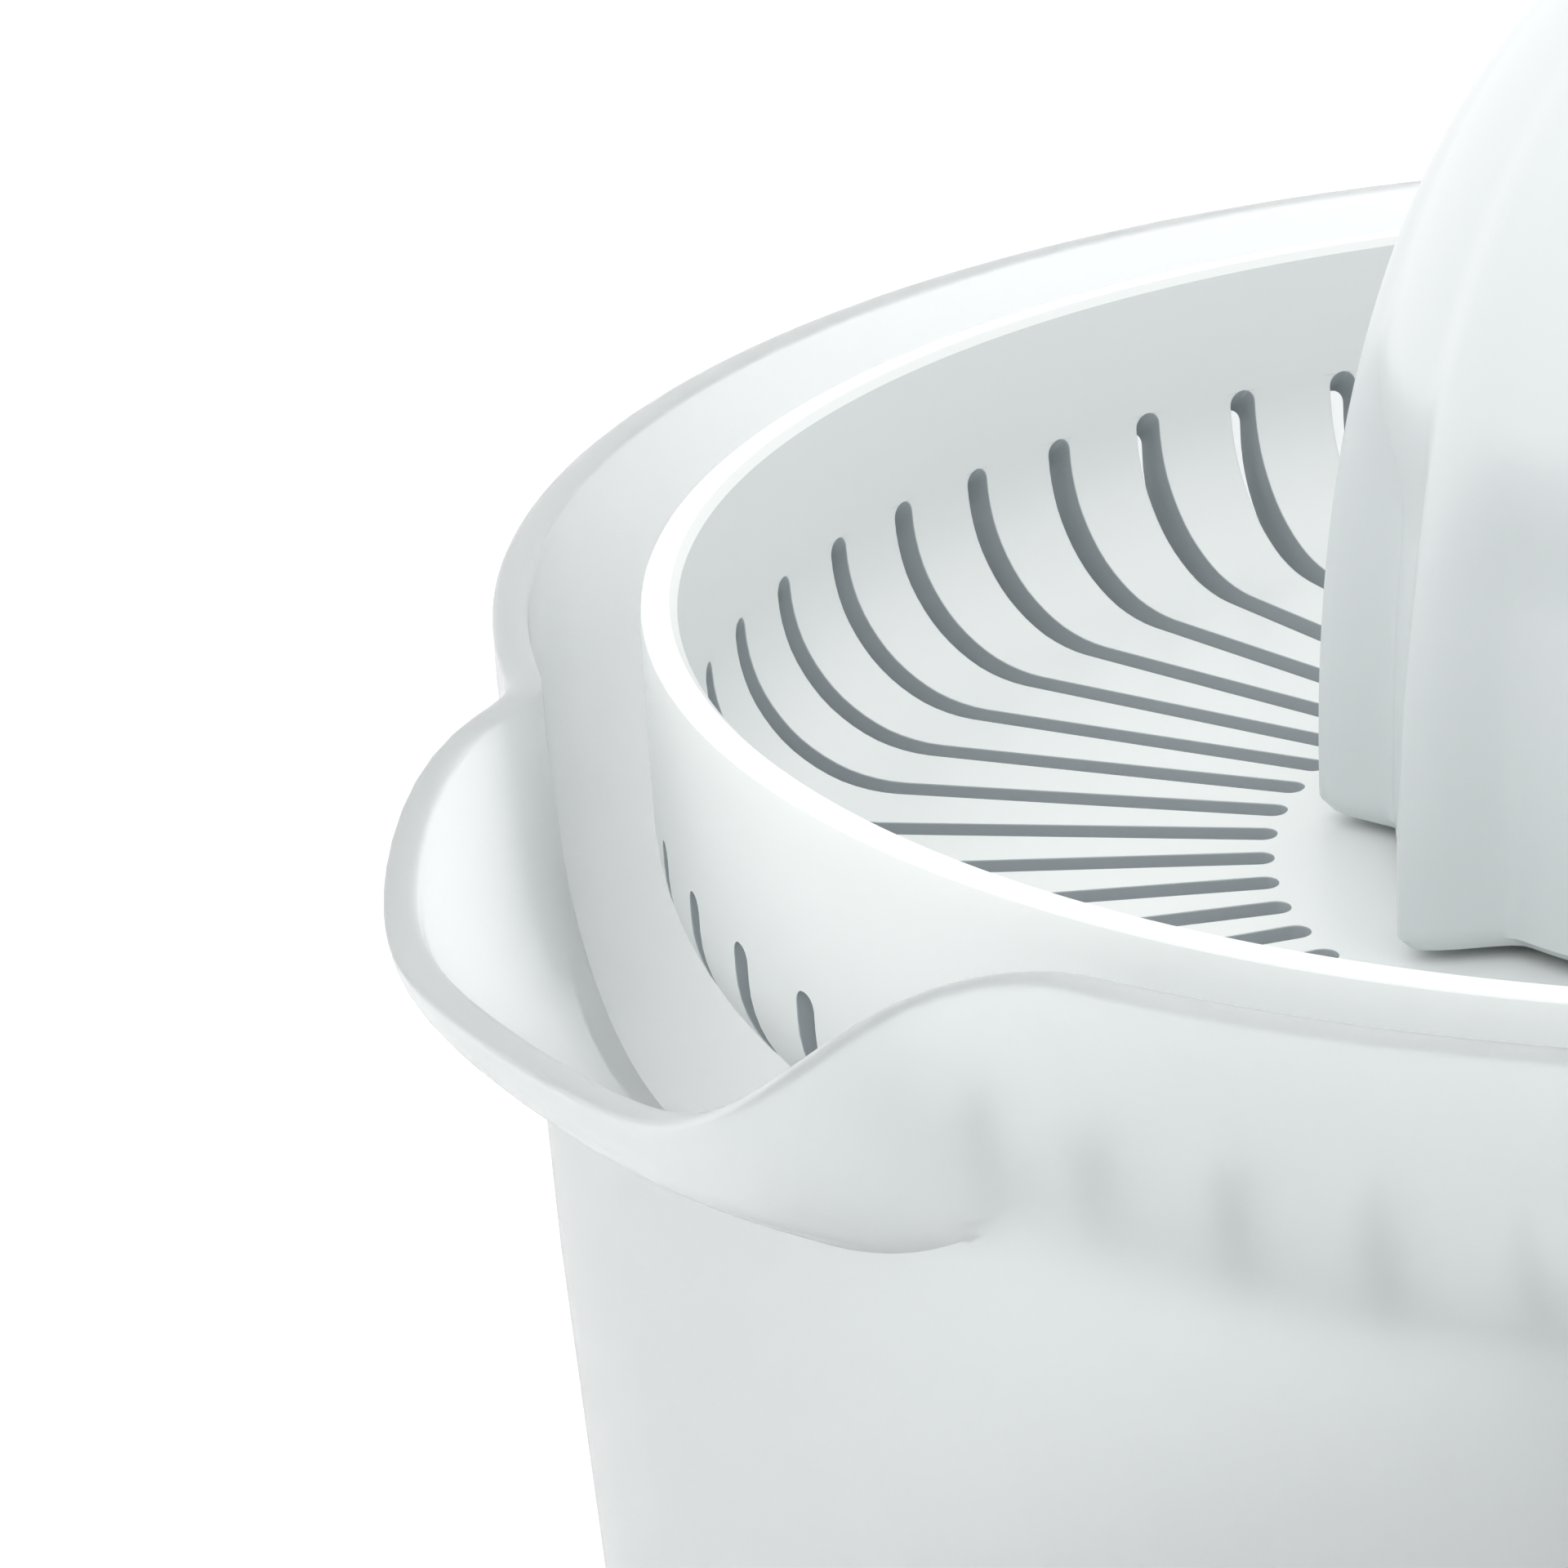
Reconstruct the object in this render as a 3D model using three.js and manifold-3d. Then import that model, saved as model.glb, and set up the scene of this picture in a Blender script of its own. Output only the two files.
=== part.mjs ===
// Electric citrus press: motor base with a gear drive, juice jug, strainer and two reamers.
// Millimetres, +Z up. The origin is the centre of the base plate's underside, on the spindle axis.
// The jug's pouring spout points along -X and its handle along +X.
import * as THREE from 'three';
import { mergeVertices } from 'three/addons/utils/BufferGeometryUtils.js';
import Module from 'manifold-3d';

const wasm = await Module();
wasm.setup();

// ---- Driving dimensions --------------------------------------------------------------------
const GAP = 0.3;                  // clearance kept between touching pieces
const RADIAN = Math.PI / 180;

const PLATE_RADIUS = 72.4;
const PLATE_THICKNESS = 3;
const FOOT_RADIUS = 8;
const FOOT_DROP = 4;              // how far the feet stand below the plate
const FOOT_RECESS = 1.5;
const FOOT_CIRCLE = 58;
const SCREW_CIRCLE = 68;
const SCREW_HEAD = 2.9;
const SCREW_RECESS = 1.8;
const SCREW_HOLE = 1.8;
const SCREW_SHANK = 1.4;
const SCREW_BOSS = 6.2;
const SCREW_START = 30 * RADIAN;

const DECK_Z = 80;                // top of the housing, where the jug stands
const HOUSING_WALL = 2.4;
const HOUSING_RADIUS = 76;
const TOWER_TOP = 145.8;
const TOWER_RADIUS = 12;
const TOWER_BORE = 9;
const GLAND_Z = 14;
const GLAND_BORE = 3.2;
const GLAND_NECK = 5;
const GLAND_FLANGE = 7;
const GLAND_LENGTH = 16;          // how far the strain relief stands out of the wall

const RIM_Z = 174;                // rim of the strainer
const JUG_RIM_Z = RIM_Z + 0.85;
const JUG_RIM_RADIUS = 78.6;
const JUG_WALL = 2.1;
const JUG_BOTTOM = DECK_Z + GAP;
const JUG_FLOOR = 85;
const JUG_TUBE_BORE = 13.4;
const JUG_TUBE_TOP = RIM_Z - 20.8;
const FOOT_RING = [70.5, 73];     // radii of the ring under the jug
const SPOUT_HALF_ANGLE = 22 * RADIAN;
const SPOUT_REACH = 11.8;         // how far the lip stands out from the rim circle
const SPOUT_DIP = 8.4;            // how far the lip hangs below the rim
const SPOUT_DEPTH = 20.3;         // where the pocket leaves the wall, below the rim
const SPOUT_RISE = 11.8;          // how much higher the pocket's foot is at its two roots
const SPOUT_EDGE = 6;             // these three powers set how squarely the lip's reach
const SPOUT_REACH_FALL = 4.7;     // and its dip fall away towards the roots
const SPOUT_DIP_FALL = 14;
const PLAIN_WALL = 40;            // below the rim by this much, the wall is plain all round
const CROWDING = 0.55;            // how strongly the wall's segments are drawn to the spout
const HANDLE_WIDTH = 18;
const HANDLE_THICKNESS = 8;
const HANDLE_PATH = [[76.4, 165.5], [92, 166.5], [110.5, 160], [110.5, 141], [110.5, 122], [107, 102],
  [92, 98.5], [74.4, 96.5]];

const STRAINER_RADIUS = 70;
const STRAINER_WALL = 2;
const STRAINER_INNER = 67.7;      // radius of the inner face of its wall
const INNER_BEND = 10;
const OUTER_BEND = 9;
const HUB_RADIUS = 22;            // foot of the low cone round the collar
const HUB_RISE = 3;
const COLLAR_RADIUS = 12.6;
const COLLAR_BORE = 11;
const COLLAR_TOP = RIM_Z - 14;
const SLEEVE_WALL = 2.6;
const SLEEVE_LENGTH = 12;
const STRAINER_DEPTH = 20.05;     // rim to the floor's upper face
const SLOTS = 54;
const SLOT_WIDTH = 1.9;
const SLOT_INNER_RADIUS = 32.6;
const SLOT_TOP_DEPTH = 9.1;
const SLOT_PHASE = 4.27 * RADIAN;

const RIBS = 8;
const RIB_PHASE = -2.8 * RADIAN;
const FLUTE_EDGE = 0.62;          // how soon beside a rib the flute reaches its full depth
const FLUTE_FADE = 0.34;          // fraction of the height where the flutes start to fade
const FADE_LENGTH = 0.2;
const FADED_DEPTH = 0.3;          // share of the depth left above that
const LARGE_REAMER = { radius: 30.4, bottom: RIM_Z - 19.3, height: 59.5, power: 2.25, depth: 0.17 };
const SMALL_REAMER = { radius: 23, bottom: RIM_Z - 16.5, height: 44, power: 2.25, depth: 0.14 };
const SOCKET_RADIUS = 4.5;
const STEM_RADIUS = 8;

const SPINDLE_RADIUS = 4;
const SPINDLE_FOOT_RADIUS = 3;
const SPINDLE_BOTTOM = 6;
const SPINDLE_TOP = RIM_Z - 4;
const RUNNING_CLEARANCE = 0.1;
const COLLAR_Z = 24.3;
const COLLAR_HEIGHT = 3.7;
const BRIDGE_Z = 62;
const STANDOFF_CIRCLE = 42;
const STANDOFF_START = 100 * RADIAN;
const SWITCH_X = 17;

const OUTPUT_GEAR = { teeth: 48, module: 1.25, z: 50, width: 8 };
const IDLER_PINION = { teeth: 12, module: 1.25, z: 42, width: 18 };
const IDLER_WHEEL = { teeth: 40, module: 1, z: 34, width: 8 };
const MOTOR_PINION = { teeth: 10, module: 1, z: 33, width: 11 };
const CENTRE_PLAY = 0.15;         // added to each centre distance
const IDLER_ANGLE = 150 * RADIAN;
const MOTOR_ANGLE = 240 * RADIAN; // from the idler to the motor
const MOTOR_RADIUS = 22;

// ---- Placing the gear train ----------------------------------------------------------------
const pitchRadius = (gear) => gear.teeth * gear.module / 2;
const outputToIdler = pitchRadius(OUTPUT_GEAR) + pitchRadius(IDLER_PINION) + CENTRE_PLAY;
const idlerToMotor = pitchRadius(IDLER_WHEEL) + pitchRadius(MOTOR_PINION) + CENTRE_PLAY;
const IDLER_AT = new THREE.Vector2(Math.cos(IDLER_ANGLE), Math.sin(IDLER_ANGLE)).multiplyScalar(outputToIdler);
const MOTOR_AT = new THREE.Vector2(Math.cos(MOTOR_ANGLE), Math.sin(MOTOR_ANGLE))
  .multiplyScalar(idlerToMotor).add(IDLER_AT);

// ---- Materials -----------------------------------------------------------------------------
const finish = (color, roughness, metalness = 0) =>
  new THREE.MeshStandardMaterial({ color, roughness, metalness });
const whiteShell = finish(0xeef2f0, 0.35);
const milkyJug = finish(0xeaf0f0, 0.3);
const whiteNylon = finish(0xe3e5dd, 0.5);
const steel = finish(0xb9bcc0, 0.3, 1);
const zincSteel = finish(0xa9acb0, 0.45, 1);
const bronze = finish(0xb08d57, 0.4, 1);
const copper = finish(0xb06a3a, 0.4, 1);
const blackPlastic = finish(0x1d1d1f, 0.5);
const greyRubber = finish(0x6f7375, 0.85);
const ferrite = finish(0x33353a, 0.6);

// ---- Solids --------------------------------------------------------------------------------
/** Merge a closed mesh's shared vertices, drop empty triangles and turn its faces outward. */
function tidy(geometry) {
  const loose = geometry.index ? geometry.toNonIndexed() : geometry;
  loose.deleteAttribute('normal');
  loose.deleteAttribute('uv');
  const merged = mergeVertices(loose, 1e-4);
  const corner = merged.index.array;
  const at = merged.attributes.position;
  const [a, b, c] = [new THREE.Vector3(), new THREE.Vector3(), new THREE.Vector3()];
  const kept = [];
  let volume = 0;
  for (let i = 0; i < corner.length; i += 3) {
    const [p, q, r] = [corner[i], corner[i + 1], corner[i + 2]];
    if (p === q || q === r || r === p) continue;
    kept.push(p, q, r);
    volume += a.fromBufferAttribute(at, p).dot(b.fromBufferAttribute(at, q).cross(c.fromBufferAttribute(at, r)));
  }
  merged.setIndex(volume < 0 ? kept.reverse() : kept);
  return merged;
}

/** A closed three.js geometry as a manifold solid. */
function solid(geometry) {
  const mesh = tidy(geometry);
  const vertProperties = new Float32Array(mesh.attributes.position.array);
  const triVerts = new Uint32Array(mesh.index.array);
  return new wasm.Manifold(new wasm.Mesh({ numProp: 3, vertProperties, triVerts }));
}

/** A manifold solid as a three.js geometry. */
function geometryOf(manifold) {
  const { vertProperties, triVerts } = manifold.getMesh();
  const geometry = new THREE.BufferGeometry();
  geometry.setAttribute('position', new THREE.BufferAttribute(new Float32Array(vertProperties), 3));
  geometry.setIndex(new THREE.BufferAttribute(new Uint32Array(triVerts), 1));
  return geometry;
}

const cut = (body, tools) => geometryOf(tools.reduce((rest, tool) => rest.subtract(solid(tool)), solid(body)));
const join = (body, others) => geometryOf(others.reduce((sum, other) => sum.add(solid(other)), solid(body)));

/** Turn a radius-height outline about +Z; bend(radius, angle, z, index) may move each vertex. */
function lathe(outline, segments, bend = null) {
  const points = outline.map(([r, z]) => new THREE.Vector2(r, z));
  const geometry = new THREE.LatheGeometry(points, segments).rotateX(Math.PI / 2);
  if (!bend) return tidy(geometry);
  const at = geometry.attributes.position;
  for (let i = 0; i < at.count; i++) {
    const turn = Math.floor(i / points.length) % segments;
    const [r, angle, z] = bend(Math.hypot(at.getX(i), at.getY(i)), turn * 2 * Math.PI / segments,
      at.getZ(i), i % points.length);
    at.setXYZ(i, r * Math.cos(angle), r * Math.sin(angle), z);
  }
  return tidy(geometry);
}

const rod = (radius, z0, z1, segments = 24) => lathe([[0, z0], [radius, z0], [radius, z1], [0, z1]], segments);
const ring = (inner, outer, z0, z1, segments = 24) =>
  lathe([[inner, z0], [outer, z0], [outer, z1], [inner, z1], [inner, z0]], segments);
const block = (x, y, z, centre) => tidy(new THREE.BoxGeometry(x, y, z).translate(...centre));
const around = (count, circle, start = 0) => Array.from({ length: count }, (_, i) => {
  const angle = start + i * 2 * Math.PI / count;
  return [circle * Math.cos(angle), circle * Math.sin(angle)];
});
const smooth = (x) => x * x * (3 - 2 * x);
const clamp = (x) => Math.min(1, Math.max(0, x));

// ---- Base ----------------------------------------------------------------------------------
/** Round floor of the base, with recesses for the feet and counterbored holes for the screws. */
function basePlate() {
  const recesses = around(4, FOOT_CIRCLE, Math.PI / 4)
    .map(([x, y]) => rod(FOOT_RADIUS + GAP, -1, FOOT_RECESS, 20).translate(x, y, 0));
  const holes = around(4, SCREW_CIRCLE, SCREW_START)
    .map(([x, y]) => rod(SCREW_HOLE, -1, PLATE_THICKNESS + 1, 10).translate(x, y, 0));
  const counterbores = around(4, SCREW_CIRCLE, SCREW_START)
    .map(([x, y]) => rod(SCREW_HEAD + GAP, -1, SCREW_RECESS, 16).translate(x, y, 0));
  return cut(rod(PLATE_RADIUS, 0, PLATE_THICKNESS, 48), [...recesses, ...holes, ...counterbores]);
}

/** Rubber foot with a softened lower edge. */
function foot() {
  const top = FOOT_RECESS - GAP;
  return lathe([[0, -FOOT_DROP], [FOOT_RADIUS - 1, -FOOT_DROP], [FOOT_RADIUS, 1 - FOOT_DROP],
    [FOOT_RADIUS, top], [0, top]], 20);
}

/** Round shell with the deck the jug stands on and the tower that carries the spindle. */
function motorHousing() {
  const inner = HOUSING_RADIUS - HOUSING_WALL;
  const deckUnder = DECK_Z - HOUSING_WALL;
  const shell = lathe([
    [HOUSING_RADIUS, 0.6], [HOUSING_RADIUS, 5], [HOUSING_RADIUS - 1, 45], [HOUSING_RADIUS - 2.4, 74],
    [HOUSING_RADIUS - 3.6, 78.4], [HOUSING_RADIUS - 6, DECK_Z], [TOWER_RADIUS + 1.2, DECK_Z],
    [TOWER_RADIUS, DECK_Z + 1.5], [TOWER_RADIUS - 0.6, TOWER_TOP - 0.6], [TOWER_RADIUS - 1.1, TOWER_TOP],
    [TOWER_BORE, TOWER_TOP], [TOWER_BORE, deckUnder], [inner - 5, deckUnder],
    [inner - 2.6, 74], [inner - 1, 45], [inner, 5], [inner, 0.6], [HOUSING_RADIUS, 0.6]], 44);
  const bosses = around(4, SCREW_CIRCLE, SCREW_START)
    .map(([x, y]) => rod(SCREW_BOSS, PLATE_THICKNESS + GAP, 20, 12).translate(x, y, 0));
  const bores = around(4, SCREW_CIRCLE, SCREW_START)
    .map(([x, y]) => rod(SCREW_HOLE, 0, 16, 10).translate(x, y, 0));
  const glandHole = rod(GLAND_NECK + GAP, 60, 90, 16).rotateX(-Math.PI / 2).translate(0, 0, GLAND_Z);
  return cut(join(shell, bosses), [...bores, glandHole]);
}

/** Strain relief for the mains cord: a flanged tapering sleeve along +Y through the back wall. */
function cordGland() {
  const wall = HOUSING_RADIUS;
  return lathe([[GLAND_BORE, wall - 6], [GLAND_NECK, wall - 6], [GLAND_NECK, wall + GAP],
    [GLAND_FLANGE, wall + GAP], [GLAND_FLANGE, wall + 2.6], [5.6, wall + 3.4], [4.6, wall + GLAND_LENGTH],
    [GLAND_BORE, wall + GLAND_LENGTH], [GLAND_BORE, wall - 6]], 16)
    .rotateX(-Math.PI / 2).translate(0, 0, GLAND_Z);
}

/** Pan-head screw, head down in its counterbore, that holds the plate to the housing. */
function plateScrew() {
  const under = SCREW_RECESS - GAP;
  return lathe([[0, GAP], [SCREW_HEAD - 0.8, GAP], [SCREW_HEAD, 0.8], [SCREW_HEAD, under],
    [SCREW_SHANK, under], [SCREW_SHANK, 14], [0, 14]], 12);
}

// ---- Drive ---------------------------------------------------------------------------------
/** Outline of a spur gear whose tooth (or gap) faces the given angle, with a round bore. */
function gearShape(gear, facing, bore, gapFaces = false) {
  const pitch = 2 * Math.PI / gear.teeth;
  const radius = pitchRadius(gear);
  const root = radius - 1.2 * gear.module;
  const tip = radius + 0.85 * gear.module;
  const start = facing + (gapFaces ? pitch / 2 : 0);
  const corner = (r, angle) => new THREE.Vector2(r * Math.cos(angle), r * Math.sin(angle));
  const outline = [];
  for (let i = 0; i < gear.teeth; i++) {
    const centre = start + i * pitch;
    outline.push(corner(root, centre - 0.32 * pitch), corner(tip, centre - 0.1 * pitch),
      corner(tip, centre + 0.1 * pitch), corner(root, centre + 0.32 * pitch));
  }
  const shape = new THREE.Shape(outline);
  if (bore) shape.holes.push(new THREE.Path().absarc(0, 0, bore, 0, 2 * Math.PI));
  return shape;
}

const gearSolid = (gear, facing, bore, gapFaces) => tidy(new THREE.ExtrudeGeometry(
  gearShape(gear, facing, bore, gapFaces), { depth: gear.width, bevelEnabled: false, curveSegments: 10 })
  .translate(0, 0, gear.z));

/** Drive spindle: bearing foot, thrust flange, shaft and the hexagonal end the reamer drops on. */
function driveSpindle() {
  const flange = COLLAR_Z + COLLAR_HEIGHT + GAP;
  const hexagonFrom = TOWER_TOP + 5;
  const shaft = lathe([[0, SPINDLE_BOTTOM], [SPINDLE_FOOT_RADIUS, SPINDLE_BOTTOM],
    [SPINDLE_FOOT_RADIUS, flange], [5.5, flange], [5.5, flange + 2], [SPINDLE_RADIUS, flange + 2],
    [SPINDLE_RADIUS, hexagonFrom], [0, hexagonFrom]], 24);
  const hexagon = lathe([[0, hexagonFrom - 1], [SPINDLE_RADIUS, hexagonFrom - 1],
    [SPINDLE_RADIUS, SPINDLE_TOP - 1.5], [2.4, SPINDLE_TOP], [0, SPINDLE_TOP]], 6);
  return join(shaft, [hexagon]);
}

/** Nylon gear on the spindle. */
const outputGear = () => gearSolid(OUTPUT_GEAR, IDLER_ANGLE, SPINDLE_RADIUS + RUNNING_CLEARANCE);

/** Compound gear: a large wheel driven by the motor, and the pinion that drives the spindle. */
function idlerGear() {
  const bore = 2.5 + RUNNING_CLEARANCE;
  const wheel = gearSolid(IDLER_WHEEL, MOTOR_ANGLE, bore);
  const pinion = gearSolid(IDLER_PINION, IDLER_ANGLE + Math.PI, bore, true);
  return join(wheel, [pinion]).translate(IDLER_AT.x, IDLER_AT.y, 0);
}

/** Steel pin the compound gear turns on, with a shoulder under the gear. */
function idlerPin() {
  const foot = PLATE_THICKNESS + GAP;
  const shoulder = IDLER_WHEEL.z - GAP;
  return lathe([[0, foot], [2.8, foot], [2.8, shoulder - 2], [5, shoulder - 2], [5, shoulder],
    [2.5, shoulder], [2.5, BRIDGE_Z + 2], [0, BRIDGE_Z + 2]], 20).translate(IDLER_AT.x, IDLER_AT.y, 0);
}

/** Magnet rotor with its shaft and the pinion cut on the end of it. */
function motorRotor() {
  const rotor = lathe([[0, 7.5], [1.5, 7.5], [1.5, 10], [8.5, 10], [8.5, 27], [1.5, 27],
    [1.5, MOTOR_PINION.z + 1], [0, MOTOR_PINION.z + 1]], 20);
  const pinion = gearSolid(MOTOR_PINION, MOTOR_ANGLE + Math.PI, 0, true);
  return join(rotor, [pinion]).translate(MOTOR_AT.x, MOTOR_AT.y, 0);
}

/** Drawn steel motor can with a bearing hole in its floor, open at the top. */
function motorCan() {
  const floor = PLATE_THICKNESS + GAP;
  return lathe([[1.8, floor], [MOTOR_RADIUS, floor], [MOTOR_RADIUS, 29], [MOTOR_RADIUS - 1.5, 29],
    [MOTOR_RADIUS - 1.5, floor + 2], [1.8, floor + 2], [1.8, floor]], 28)
    .translate(MOTOR_AT.x, MOTOR_AT.y, 0);
}

const motorCoil = () => ring(10, MOTOR_RADIUS - 2.2, 8.5, 27.5).translate(MOTOR_AT.x, MOTOR_AT.y, 0);
const motorEndplate = () => ring(1.8, MOTOR_RADIUS, 29 + GAP, 31.3, 28).translate(MOTOR_AT.x, MOTOR_AT.y, 0);

/** Steel plate over the gears that steadies the spindle and the idler pin. */
function bearingBridge() {
  const plate = ring(SPINDLE_RADIUS + 1, 46, BRIDGE_Z, BRIDGE_Z + 2.4, 36);
  const pinHole = rod(2.5 + GAP, BRIDGE_Z - 1, BRIDGE_Z + 4, 16).translate(IDLER_AT.x, IDLER_AT.y, 0);
  return cut(plate, [pinHole]);
}

const standoff = () => rod(3.5, PLATE_THICKNESS + GAP, BRIDGE_Z - GAP, 6);
const lowerBush = () => ring(SPINDLE_FOOT_RADIUS + RUNNING_CLEARANCE, 7.5, PLATE_THICKNESS + GAP, 14);
const upperBush = () => ring(SPINDLE_RADIUS + RUNNING_CLEARANCE, TOWER_BORE - GAP, 121, TOWER_TOP - 0.4);

/** Lip seal on top of the tower that keeps juice off the bearing. */
function spindleSeal() {
  return lathe([[SPINDLE_RADIUS + RUNNING_CLEARANCE, TOWER_TOP + 2.4], [SPINDLE_RADIUS + 1.4, TOWER_TOP + GAP],
    [TOWER_BORE + 1.2, TOWER_TOP + GAP], [TOWER_BORE + 0.6, TOWER_TOP + 1.7],
    [SPINDLE_RADIUS + 1.4, TOWER_TOP + 3.4], [SPINDLE_RADIUS + RUNNING_CLEARANCE, TOWER_TOP + 2.4]], 24);
}

/** Ring under the spindle's flange, with the arm that works the switch. */
function thrustCollar() {
  const hub = ring(SPINDLE_FOOT_RADIUS + 0.4, 8.5, COLLAR_Z, COLLAR_Z + COLLAR_HEIGHT);
  const arm = block(SWITCH_X - 4, 6, 2.7, [(SWITCH_X + 10) / 2, 0, COLLAR_Z + 1.35]);
  return join(hub, [arm]);
}

/** Round-wire compression spring between the lower bush and the thrust collar. */
function returnSpring() {
  const [wire, coil, turns, low, high] = [0.65, 5.6, 4, 15, 23.3];
  class Helix extends THREE.Curve {
    getPoint(t, target = new THREE.Vector3()) {
      const angle = t * turns * 2 * Math.PI;
      return target.set(coil * Math.cos(angle), coil * Math.sin(angle), low + (high - low) * t);
    }
  }
  const section = new THREE.Shape(around(5, wire).map(([x, y]) => new THREE.Vector2(x, y)));
  return tidy(new THREE.ExtrudeGeometry(section,
    { steps: turns * 12, extrudePath: new Helix(), bevelEnabled: false }));
}

/** Case of the push switch, with the bore its plunger slides in. */
function switchBody() {
  const floor = PLATE_THICKNESS + GAP;
  const body = block(8, 16, 18 - floor, [SWITCH_X, 0, (18 + floor) / 2]);
  return cut(body, [rod(1.8, 8, 20, 12).translate(SWITCH_X, 0, 0)]);
}

const switchPlunger = () => rod(1.5, 11, COLLAR_Z - GAP, 12).translate(SWITCH_X, 0, 0);

// ---- Jug -----------------------------------------------------------------------------------
/** Crowd the lathe's segments towards the spout at -X. */
const crowd = (angle) => Math.PI + angle - CROWDING * Math.sin(angle);

/** The jug's outer wall from the foot ring to the rim's lower edge, as radius and height. */
const JUG_SIDE = [[74, 81.6], [75.3, 88], [77.6, 134.85], [JUG_RIM_RADIUS - 0.5, JUG_RIM_Z - SPOUT_DEPTH],
  [JUG_RIM_RADIUS - 0.3, JUG_RIM_Z - 14], [JUG_RIM_RADIUS - 0.15, JUG_RIM_Z - 8],
  [JUG_RIM_RADIUS, JUG_RIM_Z - 3.5], [JUG_RIM_RADIUS, JUG_RIM_Z]];

/** Radius of the jug's outer wall at a height. */
function sideRadius(z) {
  const last = JUG_SIDE.length - 1;
  const above = Math.max(1, JUG_SIDE.findIndex((corner, i) => corner[1] >= z || i === last));
  const [[r0, z0], [r1, z1]] = [JUG_SIDE[above - 1], JUG_SIDE[above]];
  return r0 + (r1 - r0) * (z - z0) / (z1 - z0);
}

/**
 * Pull the wall out and its rim down into the pouring spout. The rows of the plain wall are first
 * moved so that one of them runs along the pocket's foot, which rises towards the roots.
 */
function spoutBend(r, angle, z) {
  const turned = crowd(angle);
  const plain = JUG_RIM_Z - PLAIN_WALL;
  if (r < 60 || z <= plain) return [r, turned, z];
  const off = Math.abs(Math.atan2(Math.sin(turned - Math.PI), Math.cos(turned - Math.PI)));
  const across = Math.min(1, off / SPOUT_HALF_ANGLE);
  const base = JUG_RIM_Z - SPOUT_DEPTH;
  const foot = base + SPOUT_RISE * across ** 3;
  const height = clamp((z - base) / SPOUT_DEPTH);
  const moved = z < base ? plain + (z - plain) * (foot - plain) / (base - plain) :
    foot + (JUG_RIM_Z - foot) * height;
  const reach = SPOUT_REACH * (1 - across ** SPOUT_EDGE) ** SPOUT_REACH_FALL * Math.sin(height * Math.PI / 2);
  const dip = SPOUT_DIP * (1 - across ** SPOUT_EDGE) ** SPOUT_DIP_FALL * height;
  return [r + sideRadius(moved) - sideRadius(z) + reach, turned, moved - dip];
}

/** Handle: a flat oval bar swept along a Bezier loop from the wall's top to its bottom. */
function handleBar() {
  const [a, b, c, d, e, f, g, h] = HANDLE_PATH.map(([x, z]) => new THREE.Vector3(x, 0, z));
  const path = new THREE.CurvePath();
  path.add(new THREE.CubicBezierCurve3(a, b, c, d));
  path.add(new THREE.CubicBezierCurve3(d, e, f, g));
  path.add(new THREE.LineCurve3(g, h));
  const section = new THREE.Shape(Array.from({ length: 10 }, (_, i) => {
    const angle = i * Math.PI / 5;
    return new THREE.Vector2(HANDLE_WIDTH / 2 * Math.sin(angle), HANDLE_THICKNESS / 2 * Math.cos(angle));
  }));
  return tidy(new THREE.ExtrudeGeometry(section, { steps: 18, extrudePath: path, bevelEnabled: false }));
}

/** Juice jug: tapered wall, pouring spout, centre tube over the tower, foot ring and handle. */
function juiceJug() {
  const rim = JUG_RIM_Z;
  const rimR = JUG_RIM_RADIUS;
  const tube = JUG_TUBE_BORE + 2;
  const side = JUG_SIDE.slice(0, -1);
  const inside = side.slice(1).reverse().map(([r, z]) => [r - JUG_WALL, z]);
  const profile = [[JUG_TUBE_BORE, JUG_FLOOR - 2.4], [69.5, JUG_FLOOR - 2.4],
    ...FOOT_RING.map((r) => [r, JUG_BOTTOM]), ...side, [rimR, rim - 0.8], [rimR - 0.7, rim], [rimR - JUG_WALL + 0.6, rim],
    [rimR - JUG_WALL, rim - 0.7], ...inside, [70.4, JUG_FLOOR], [tube, JUG_FLOOR], [tube, JUG_TUBE_TOP],
    [JUG_TUBE_BORE, JUG_TUBE_TOP], [JUG_TUBE_BORE, JUG_FLOOR - 2.4]];
  return join(lathe(profile, 52, spoutBend), [handleBar()]);
}

// ---- Strainer ------------------------------------------------------------------------------
/** One radial slot cutter, lying along +X: floor, bend and lower wall, as a thin extruded outline. */
function slotCutter() {
  const floor = RIM_Z - STRAINER_DEPTH;
  const top = RIM_Z - SLOT_TOP_DEPTH;
  const shape = new THREE.Shape([[SLOT_INNER_RADIUS, floor - 4], [STRAINER_RADIUS + 3, floor - 4],
    [STRAINER_RADIUS + 3, top - 4.8], [66.5, top + 1.1], [55, floor + 4], [50, floor + 2],
    [SLOT_INNER_RADIUS, floor + 2]].map(([x, y]) => new THREE.Vector2(x, y)));
  return tidy(new THREE.ExtrudeGeometry(shape, { depth: SLOT_WIDTH, bevelEnabled: false })
    .translate(0, 0, -SLOT_WIDTH / 2).rotateX(Math.PI / 2));
}

/** Corners of a quarter bend, from the angle of its first corner to that of its last. */
const quarterBend = (r, z, radius, angles) => angles.map((degrees) =>
  [r + radius * Math.cos(degrees * RADIAN), z - radius * Math.sin(degrees * RADIAN)]);

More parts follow.
